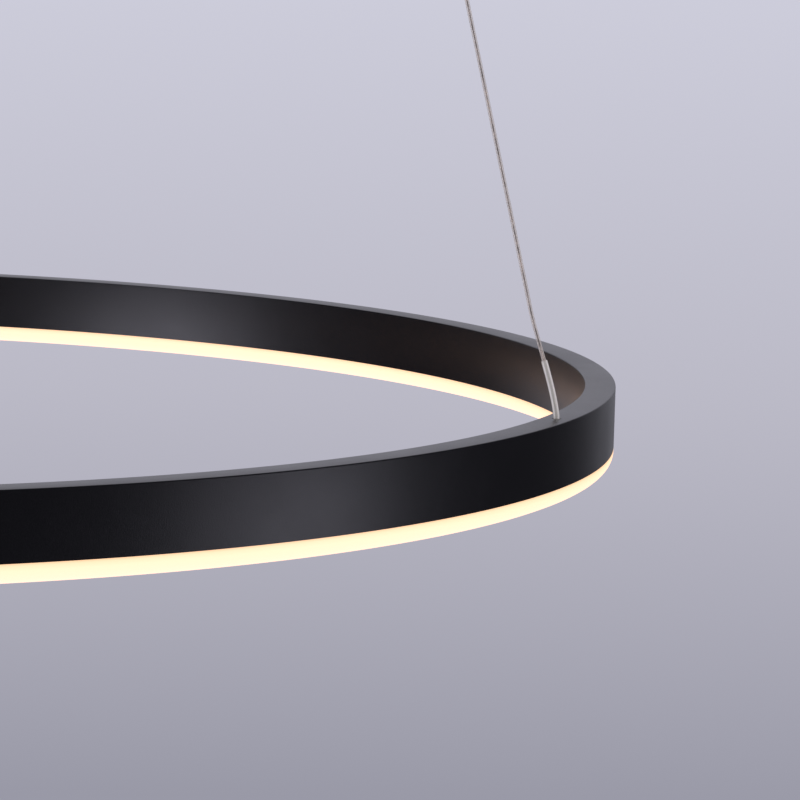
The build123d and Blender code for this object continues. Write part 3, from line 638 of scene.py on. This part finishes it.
def build_ring():
    """Bent extrusion: a closed wire chamber over the web, an open lamp chamber with ribs under it."""
    chamber_top = ring_top - TOP_WALL
    web_top = chamber_top - WIRE_CHAMBER_HEIGHT
    web_bottom = web_top - WEB_THICKNESS
    rib_low = ring_bottom + RIB_ABOVE_RIM
    rib_high = rib_low + RIB_HEIGHT
    left = ring_inner + SIDE_WALL
    right = ring_outer - SIDE_WALL
    ring = trace("ring_shell", (
        (ring_inner, ring_bottom),
        (ring_inner, ring_top),
        (ring_outer, ring_top),
        (ring_outer, ring_bottom),
        (right, ring_bottom),
        (right, rib_low),
        (right - RIB_DEPTH, rib_low + RIB_DEPTH),
        (right - RIB_DEPTH, rib_high),
        (right, rib_high),
        (right, web_bottom),
        (left, web_bottom),
        (left, rib_high),
        (left + RIB_DEPTH, rib_high),
        (left + RIB_DEPTH, rib_low + RIB_DEPTH),
        (left, rib_low),
        (left, ring_bottom),
    ))
    select_where(ring, "VERT", lambda vertex: vertex.co.z > chamber_top)
    bpy.ops.mesh.bevel(offset=PROFILE_EDGE, segments=EDGE_STEPS, affect="VERTICES")
    bpy.ops.object.mode_set(mode="OBJECT")
    spin(ring, RING_STEPS)
    chamber = ((left, web_top), (left, chamber_top), (right, chamber_top), (right, web_top))
    cut(ring, turn_piece("wire_chamber", chamber, RING_STEPS))
    for angle in wire_angles:
        place = at_wire(ring_middle, angle)
        cut(ring, hole_cutter(WIRE_HOLE / 2, chamber_top - TOP_WALL, ring_top + TOP_WALL, place))
        cut(ring, hole_cutter(PORT / 2, web_bottom - WEB_THICKNESS, web_top + WEB_THICKNESS, place))
    smooth(ring)
    hand_over(ring, "ring_black", "ring", "ring_housing")


def build_diffuser():
    """Hollow opal dome with two barbed legs that hook over the ribs."""
    half_width = PROFILE_WIDTH / 2
    leg_outer = half_width - SIDE_WALL - RIB_DEPTH - LEG_CLEARANCE
    leg_inner = leg_outer - LEG_THICKNESS
    barb_tip = half_width - SIDE_WALL - LEG_CLEARANCE
    barb_low = ring_bottom + RIB_ABOVE_RIM + RIB_HEIGHT + LEG_CLEARANCE
    barb_high = barb_low + BARB_HEIGHT
    inner_bottom = dome_bottom + DOME_WALL
    outside = arc(ring_middle, dome_bottom + half_width, half_width, pi, 2 * pi, DOME_ARC_STEPS)
    inside = arc(ring_middle, inner_bottom + leg_inner, leg_inner, 2 * pi, pi, DOME_ARC_STEPS)
    diffuser = turn_piece("diffuser_strip", (
        (ring_middle - half_width, ring_bottom),
        *outside,
        (ring_middle + half_width, ring_bottom),
        (ring_middle + leg_outer, ring_bottom),
        (ring_middle + leg_outer, barb_low),
        (ring_middle + barb_tip, barb_low),
        (ring_middle + leg_outer, barb_high),
        (ring_middle + leg_inner, barb_high),
        *inside,
        (ring_middle - leg_inner, barb_high),
        (ring_middle - leg_outer, barb_high),
        (ring_middle - barb_tip, barb_low),
        (ring_middle - leg_outer, barb_low),
        (ring_middle - leg_outer, ring_bottom),
    ), RING_STEPS)
    smooth(diffuser)
    hand_over(diffuser, "opal", "ring", "diffuser")


def new_curve(name, radius, roundness):
    """Curve without points yet, bevelled to a tube where its radius is not zero."""
    data = bpy.data.curves.new(name, "CURVE")
    data.dimensions = "3D"
    data.bevel_depth = radius
    data.bevel_resolution = roundness
    curve = bpy.data.objects.new(name, data)
    bpy.context.scene.collection.objects.link(curve)
    return curve


def route_curve(name, points, radius=0.0):
    """Smooth curve with a route's points as its control points."""
    curve = new_curve(name, radius, TUBE_ROUND)
    curve.data.resolution_u = LINE_STEPS
    spline = curve.data.splines.new("NURBS")
    spline.points.add(len(points) - 1)
    for control, place in zip(spline.points, points):
        control.co = (*place, 1.0)
    spline.order_u = ROUTE_ORDER
    spline.use_endpoint_u = True
    return curve


def route_line(points):
    """The smooth line of a route, as the points that its bare curve gives."""
    curve = route_curve("route", points)
    mesh = bpy.data.meshes.new_from_object(curve)
    line = [vertex.co.copy() for vertex in mesh.vertices]
    bpy.data.meshes.remove(mesh)
    bpy.data.objects.remove(curve)
    return line


def to_mesh(curve):
    """Make a curve a mesh."""
    pick(curve)
    bpy.ops.object.convert(target="MESH")
    return bpy.context.object


def hose(name, points, diameter, bore):
    """Tube with a wall along a route."""
    tube = to_mesh(route_curve(name, points, diameter / 2))
    bpy.ops.object.mode_set(mode="EDIT")
    merge_doubles()
    bpy.ops.object.mode_set(mode="OBJECT")
    wall = tube.modifiers.new("wall", "SOLIDIFY")
    wall.thickness = (diameter - bore) / 2
    wall.offset = -1.0
    bpy.ops.object.modifier_apply(modifier=wall.name)
    smooth(tube, TUBE_SMOOTH_ANGLE)
    return tube


def stations(line, spacing):
    """Even stations along a line, each its distance from the start, its place and its direction."""
    along = [0.0]
    for here, there in zip(line, line[1:]):
        along.append(along[-1] + (there - here).length)
    count = int(along[-1] / spacing)
    found = []
    stretch = 0
    for index in range(count + 1):
        distance = along[-1] * index / count
        while stretch < len(line) - 2 and along[stretch + 1] < distance:
            stretch += 1
        here, there = line[stretch:stretch + 2]
        share = (distance - along[stretch]) / (along[stretch + 1] - along[stretch])
        found.append((distance, here.lerp(there, share), there - here))
    return found


def strands(name, line):
    """Strands twisted round a straight one on a line, with one lay length."""
    strand_radius = CORE_DIAMETER / STRANDS_ACROSS / 2
    around = [(2 * strand_radius, number / STRAND_COUNT) for number in range(STRAND_COUNT)]
    places = stations(line, STRAND_LAY / STRAND_STEPS)
    curve = new_curve(name, strand_radius, STRAND_ROUND)
    curve.data.use_fill_caps = True
    for reach, start in ((0, 0), *around):
        spline = curve.data.splines.new("POLY")
        spline.points.add(len(places) - 1)
        for control, (distance, place, direction) in zip(spline.points, places):
            turn = 2 * pi * (distance / STRAND_LAY + start)
            side = direction.cross(Vector((0, 1, 0))).normalized()
            other = direction.cross(side).normalized()
            offset = reach * (cos(turn) * side + sin(turn) * other)
            control.co = (*(place + offset), 1.0)
    bundle = to_mesh(curve)
    smooth(bundle, STRAND_SMOOTH_ANGLE)
    return bundle


def swing(points, angle):
    """A route of (radius, height) points at one wire's angle."""
    return [at_wire(radius, angle, height) for radius, height in points]


def build_wires():
    """Each wire: a clear jacket over twisted strands, a clear sleeve at its foot, and its tail."""
    for number, angle in enumerate(wire_angles, start=1):
        line = route_line(swing(WIRE_ROUTE, angle))
        jacket = hose(f"jacket_{number}", swing(WIRE_ROUTE, angle), JACKET_DIAMETER, JACKET_BORE)
        core = strands(f"strands_{number}", line)
        sleeve = hose(f"sleeve_{number}", swing(SLEEVE_ROUTE, angle), SLEEVE_DIAMETER, SLEEVE_BORE)
        tail = hose(f"tail_jacket_{number}", swing(TAIL_ROUTE, angle), JACKET_DIAMETER, JACKET_BORE)
        tail_core = strands(f"tail_strands_{number}", route_line(swing(TAIL_CORE_ROUTE, angle)))
        foot_core = strands(f"foot_strands_{number}", route_line(swing(FOOT_CORE_ROUTE, angle)))
        hand_over(jacket, "clear_jacket", "canopy", f"wire_jacket_{number}")
        hand_over(core, "steel_strand", "canopy", f"wire_core_{number}")
        hand_over(sleeve, "clear_sleeve", "canopy", f"wire_sleeve_{number}")
        hand_over(tail, "clear_jacket", "canopy")
        hand_over(tail_core, "steel_strand", "canopy")
        hand_over(foot_core, "steel_strand", "ring")
        for piece in (jacket, core, sleeve):
            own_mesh(piece)


def knurl(piece, middle, inner, count):
    """Sink every other face of a band round the middle, which leaves a straight knurl."""

    def in_groove(face):
        away = face.center - middle
        step = floor(atan2(away.y, away.x) / (pi / count))
        return abs(away.z) < BAND_TOLERANCE and away.length > inner and step % 2 == 0

    select_where(piece, "FACE", in_groove)
    bpy.ops.mesh.extrude_faces_move(TRANSFORM_OT_shrink_fatten={"value": -KNURL_DEPTH})
    bpy.ops.object.mode_set(mode="OBJECT")


def build_gripper_body():
    """Turned body: socket, spring chamber, ball cone and guide, with a straight knurl outside."""
    low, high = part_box("gripper_body_1")
    axis = (low.x + high.x) / 2
    chamber_top = high.z - SOCKET_DEPTH
    outer = GRIPPER_DIAMETER / 2
    body = turn_piece("gripper_grip", (
        (SOCKET_RADIUS, high.z),
        (outer, high.z),
        (outer, KNURL_TOP),
        (outer, KNURL_BOTTOM),
        (outer, low.z + GRIPPER_EDGE),
        (outer - GRIPPER_EDGE, low.z),
        (GUIDE_RADIUS, low.z),
        (GUIDE_RADIUS, CONE_BOTTOM),
        (CONE_TOP_RADIUS, LEDGE),
        (SPRING_CHAMBER_RADIUS, LEDGE),
        (SPRING_CHAMBER_RADIUS, chamber_top),
        (SOCKET_RADIUS, chamber_top),
    ), 2 * KNURL_COUNT, axis)
    knurl(body, Vector((axis, 0, (KNURL_TOP + KNURL_BOTTOM) / 2)), SOCKET_RADIUS, KNURL_COUNT)
    smooth(body, KNURL_SMOOTH_ANGLE)
    return body


def build_spring():
    """Coil spring: one ring of wire carried up a screw line, closed at its ends."""
    low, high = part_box("gripper_spring_1")
    axis = (low.x + high.x) / 2
    start = low.z + SPRING_WIRE / 2
    rise = high.z - low.z - SPRING_WIRE
    deselect()
    bpy.ops.mesh.primitive_circle_add(
        vertices=SPRING_SIDES, radius=SPRING_WIRE / 2, rotation=(pi / 2, 0, 0),
    )
    spring = bpy.context.object
    spring.name = "gripper_coil"
    bpy.ops.transform.translate(value=(SPRING_RADIUS, 0, start))
    apply_place()
    screw = spring.modifiers.new("screw", "SCREW")
    screw.axis = "Z"
    screw.angle = 2 * pi
    screw.screw_offset = rise / SPRING_TURNS
    screw.iterations = SPRING_TURNS
    screw.steps = SPRING_STEPS
    screw.render_steps = SPRING_STEPS
    bpy.ops.object.modifier_apply(modifier=screw.name)
    bpy.ops.transform.translate(value=(axis, 0, 0))
    apply_place()
    bpy.ops.object.mode_set(mode="EDIT")
    bpy.ops.mesh.select_mode(type="EDGE")
    bpy.ops.mesh.select_all(action="DESELECT")
    bpy.ops.mesh.select_non_manifold()
    bpy.ops.mesh.fill_holes(sides=0)
    bpy.ops.mesh.select_all(action="SELECT")
    bpy.ops.mesh.normals_make_consistent(inside=False)
    bpy.ops.object.mode_set(mode="OBJECT")
    smooth(spring, TUBE_SMOOTH_ANGLE)
    return spring


def thread_wall(radius, start, end, pitch):
    """Points along an upright wall that takes a thread, several to each pitch."""
    steps = round(abs(end - start) / pitch * THREAD_STEPS)
    return [(radius, start + (end - start) * step / steps) for step in range(steps + 1)]


def press_thread(piece, axis, radius, low, high, pitch):
    """Press a right-hand thread into the wall of a turned piece, between two heights."""
    margin = pitch / THREAD_STEPS / 2
    for vertex in piece.data.vertices:
        across = vertex.co.x - axis
        reach = hypot(across, vertex.co.y)
        turn = vertex.co.z / pitch - atan2(vertex.co.y, across) / (2 * pi)
        from_crest = abs(2 * (turn % 1) - 1)
        sunk = min(max(THREAD_SLOPE * (from_crest - 0.5) + 0.5, 0), 1)
        thread_radius = radius - THREAD_DEPTH * pitch * sunk
        if low + margin < vertex.co.z < high + margin and reach > thread_radius:
            vertex.co.x = axis + across * thread_radius / reach
            vertex.co.y *= thread_radius / reach


def build_stem():
    """Threaded tube through the canopy's floor, with its flange under it and a spigot into the body."""
    low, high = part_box("gripper_stem_1")
    axis = (low.x + high.x) / 2
    stem = turn_piece("gripper_stem", (
        (STEM_BORE_RADIUS, high.z),
        (STEM_RADIUS - STEM_LEAD_IN, high.z),
        *thread_wall(STEM_RADIUS, high.z - STEM_LEAD_IN, FLANGE_TOP, STEM_PITCH),
        (FLANGE_RADIUS, FLANGE_TOP),
        (FLANGE_RADIUS, FLANGE_BOTTOM),
        *thread_wall(STEM_RADIUS, FLANGE_BOTTOM, low.z, STEM_PITCH),
        (STEM_BORE_RADIUS, low.z),
    ), THREAD_ROUND, axis)
    press_thread(stem, axis, STEM_RADIUS, FLANGE_TOP, high.z, STEM_PITCH)
    press_thread(stem, axis, STEM_RADIUS, low.z, FLANGE_BOTTOM - STEM_PITCH / THREAD_STEPS, STEM_PITCH)
    smooth(stem)
    return stem


def build_nut():
    """Six-sided nut whose corners are turned off to a cone on both faces."""
    low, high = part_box("gripper_nuts")
    corner = NUT_FLATS / 2 / cos(pi / NUT_SIDES)
    axis = high.x - corner
    barrel = corner + NUT_SPARE
    rise = (barrel - NUT_FACE_RADIUS) * tan(NUT_CHAMFER_ANGLE)
    nut = turn_piece("gripper_nut", (
        (NUT_BORE_RADIUS, high.z),
        (NUT_FACE_RADIUS, high.z),
        (barrel, high.z - rise),
        (barrel, low.z + rise),
        (NUT_FACE_RADIUS, low.z),
        (NUT_BORE_RADIUS, low.z),
    ), 2 * THREAD_ROUND, axis)
    deselect()
    bpy.ops.mesh.primitive_cylinder_add(
        vertices=NUT_SIDES, radius=corner, depth=2 * (high.z - low.z),
        location=(axis, 0, (low.z + high.z) / 2), rotation=(0, 0, pi / NUT_SIDES),
    )
    cut(nut, bpy.context.object, "INTERSECT")
    smooth(nut)
    return nut


def build_side_screw():
    """Knurled screw with a driver slot, turned upright first and then laid through the canopy's wall."""
    low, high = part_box("side_screws")
    edge_radius = SCREW_HEAD_RADIUS - SCREW_EDGE
    edge_height = SCREW_HEAD_HEIGHT - SCREW_EDGE
    screw = turn_piece("side_screw", (
        (0, SCREW_HEAD_HEIGHT),
        *arc(edge_radius, edge_height, SCREW_EDGE, pi / 2, 0, EDGE_STEPS),
        (SCREW_HEAD_RADIUS, SCREW_FOOT),
        (SCREW_HEAD_RADIUS, 0),
        *thread_wall(SCREW_RADIUS, 0, SCREW_LEAD_IN - SCREW_LENGTH, SCREW_PITCH),
        (SCREW_RADIUS - SCREW_LEAD_IN, -SCREW_LENGTH),
        (0, -SCREW_LENGTH),
    ), 2 * SCREW_KNURLS, closed=False)
    press_thread(screw, 0, SCREW_RADIUS, -SCREW_LENGTH, -SCREW_PITCH, SCREW_PITCH)
    knurl(screw, Vector((0, 0, (edge_height + SCREW_FOOT) / 2)), SCREW_RADIUS, SCREW_KNURLS)
    deselect()
    bpy.ops.mesh.primitive_cube_add(
        size=1.0, location=(0, 0, SCREW_HEAD_HEIGHT),
        scale=(SCREW_SLOT_WIDTH, 4 * SCREW_HEAD_RADIUS, 2 * SCREW_SLOT_DEPTH),
    )
    cut(screw, bpy.context.object)
    screw.rotation_euler.x = -pi / 2
    screw.location = (0, high.y - SCREW_HEAD_HEIGHT, (low.z + high.z) / 2)
    apply_place()
    smooth(screw)
    return screw


def build_grippers():
    """Gripper bodies, springs and stems, modelled once and copied round to each wire."""
    grips = copies_round(build_gripper_body(), "gripper_grip", wire_angles)
    coils = copies_round(build_spring(), "gripper_coil", wire_angles)
    stems = copies_round(build_stem(), "gripper_thread", wire_angles)
    for number, (grip, coil, stem) in enumerate(zip(grips, coils, stems), start=1):
        hand_over(grip, "canopy_black", "canopy", f"gripper_body_{number}")
        hand_over(coil, "spring_steel", "canopy", f"gripper_spring_{number}")
        hand_over(stem, "nickel_brass", "canopy", f"gripper_stem_{number}")
        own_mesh(coil)


def build_fasteners():
    """Nuts on the gripper stems, and the two screws that hold the canopy to its bracket."""
    for nut in copies_round(build_nut(), "gripper_nut", wire_angles):
        hand_over(nut, "zinc_steel", "canopy", "gripper_nuts")
    for screw in copies_round(build_side_screw(), "side_screw", (0, pi)):
        hand_over(screw, "canopy_black", "canopy", "side_screws")


def dress_nodes():
    """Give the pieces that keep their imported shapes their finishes."""
    for part in frame["record"]["subparts"]:
        for slot in nodes[part["node"]].material_slots:
            slot.material = finishes[part["material_slot"]]


def build_camera():
    """Camera of the photograph, outside the ring, a little above it."""
    eye = Vector((EYE_DISTANCE * sin(EYE_AZIMUTH), -EYE_DISTANCE * cos(EYE_AZIMUTH), ring_top + EYE_RISE))
    heading = LOOK_ASIDE - EYE_AZIMUTH
    look = Vector((sin(heading) * cos(LOOK_DOWN), cos(heading) * cos(LOOK_DOWN), -sin(LOOK_DOWN)))
    deselect()
    bpy.ops.object.camera_add(location=eye)
    camera = bpy.context.object
    camera.rotation_mode = "QUATERNION"
    camera.rotation_quaternion = look.to_track_quat("-Z", "Y") @ Quaternion((0, 0, 1), EYE_ROLL)
    camera.data.lens = LENS
    camera.data.sensor_width = SENSOR
    bpy.context.scene.camera = camera
    return eye


def surround(finish, direction, far_side):
    """How bright the studio is in a reflection: pale on the far side, dark behind the camera."""
    heading = finish.vector("NORMALIZE", finish.vector("MULTIPLY", direction, (1, 1, 0)))
    facing = finish.vector("DOT_PRODUCT", heading, far_side, output="Value")
    return finish.spread(facing, cos(PALE_FADE), cos(PALE_SIDE), DARK_SIDE, PALE_BRIGHTNESS)


def distance_from(finish, where, point):
    """Distance of each place from a point."""
    offset = finish.vector("SUBTRACT", where, point)
    return finish.vector("LENGTH", offset, output="Value")


def floor_paint(eye, far_side):
    """Pale paint, darker where the camera looks down more steeply, with a pool of light in reflections."""
    paint = new_finish("floor_paint")
    where = paint.place()
    steepness = (eye.z - FLOOR_HEIGHT) / distance_from(paint, where, (eye.x, eye.y, FLOOR_HEIGHT))
    tone = paint.ramp(steepness, (
        (0.000, SKY),
        (0.031, (0.610, 0.610, 0.693, 1)),
        (0.127, (0.497, 0.491, 0.558, 1)),
        (0.227, (0.319, 0.319, 0.376, 1)),
    ))
    reach = distance_from(paint, where, (0, 0, FLOOR_HEIGHT))
    pool = paint.spread(reach, POOL_INSIDE, POOL_OUTSIDE, POOL_BRIGHTNESS, 0.0)
    mirrored = surround(paint, where, far_side) + pool
    shine = paint.node("ShaderNodeEmission", {}, {"Color": tone, "Strength": mirrored})
    glow = paint.node("ShaderNodeEmission", {}, {"Color": tone, "Strength": FLOOR_BRIGHTNESS})
    matt = paint.node("ShaderNodeBsdfDiffuse", {}, {"Color": tone})
    lit = paint.mix_shaders(FLOOR_GLOW * paint.light_path("Is Camera Ray"), matt, glow)
    mixed = paint.mix_shaders(paint.light_path("Is Glossy Ray"), lit, shine)
    below = paint.node("ShaderNodeNewGeometry", output="Backfacing")
    sided = paint.mix_shaders(below, mixed, paint.node("ShaderNodeBsdfTransparent"))
    paint.node("ShaderNodeOutputMaterial", {}, {"Surface": sided})
    return paint.owner


def build_floor(eye, far_side):
    """Floor far below, open from underneath."""
    deselect()
    bpy.ops.mesh.primitive_plane_add(size=FLOOR_SIZE, location=(0, 0, FLOOR_HEIGHT))
    ground = bpy.context.object
    ground.name = "floor"
    apply_place()
    dress(ground, floor_paint(eye, far_side))


def build_sky(far_side):
    """World of the floor's own far tone, with a weak fill light."""
    world = bpy.data.worlds.new("studio")
    bpy.context.scene.world = world
    sky = Finish(world)
    direction = sky.node("ShaderNodeTexCoord", output="Generated")
    mirrored = surround(sky, direction, far_side)
    fill = sky.node("ShaderNodeBackground", {}, {"Color": SKY, "Strength": FILL})
    shine = sky.node("ShaderNodeBackground", {}, {"Color": SKY, "Strength": mirrored})
    view = sky.node("ShaderNodeBackground", {}, {"Color": SKY, "Strength": SKY_BRIGHTNESS})
    lit = sky.mix_shaders(sky.light_path("Is Camera Ray"), fill, view)
    mixed = sky.mix_shaders(sky.light_path("Is Glossy Ray"), lit, shine)
    sky.node("ShaderNodeOutputWorld", {}, {"Surface": mixed})


def softbox(heading, distance, height, size, brightness):
    """Square area light that faces the ring, of an even brightness."""
    deselect()
    place = Vector((distance * sin(heading), distance * cos(heading), height))
    bpy.ops.object.light_add(type="AREA", location=place)
    lamp = bpy.context.object
    lamp.data.size = size
    lamp.data.color = LAMP_COLOUR
    lamp.data.energy = brightness * pi * size**2
    lamp.rotation_euler = (Vector((0, 0, ring_top)) - place).to_track_quat("-Z", "Y").to_euler()


def build_stage(eye):
    """Pale floor and sky, a soft lamp overhead and a softbox on each side."""
    far_side = (sin(PALE_HEADING), cos(PALE_HEADING), 0)
    build_floor(eye, far_side)
    build_sky(far_side)
    softbox(OVERHEAD_HEADING, OVERHEAD_DISTANCE, OVERHEAD_HEIGHT, OVERHEAD_SIZE, OVERHEAD_BRIGHTNESS)
    softbox(RIGHT_BOX_HEADING, BOX_DISTANCE, BOX_HEIGHT, BOX_SIZE, RIGHT_BOX_BRIGHTNESS)
    softbox(LEFT_BOX_HEADING, BOX_DISTANCE, BOX_HEIGHT, BOX_SIZE, LEFT_BOX_BRIGHTNESS)


finishes = make_finishes()
build_ring()
build_diffuser()
build_wires()
build_grippers()
build_fasteners()
dress_nodes()
build_stage(build_camera())
bpy.context.scene.view_settings.view_transform = "Standard"
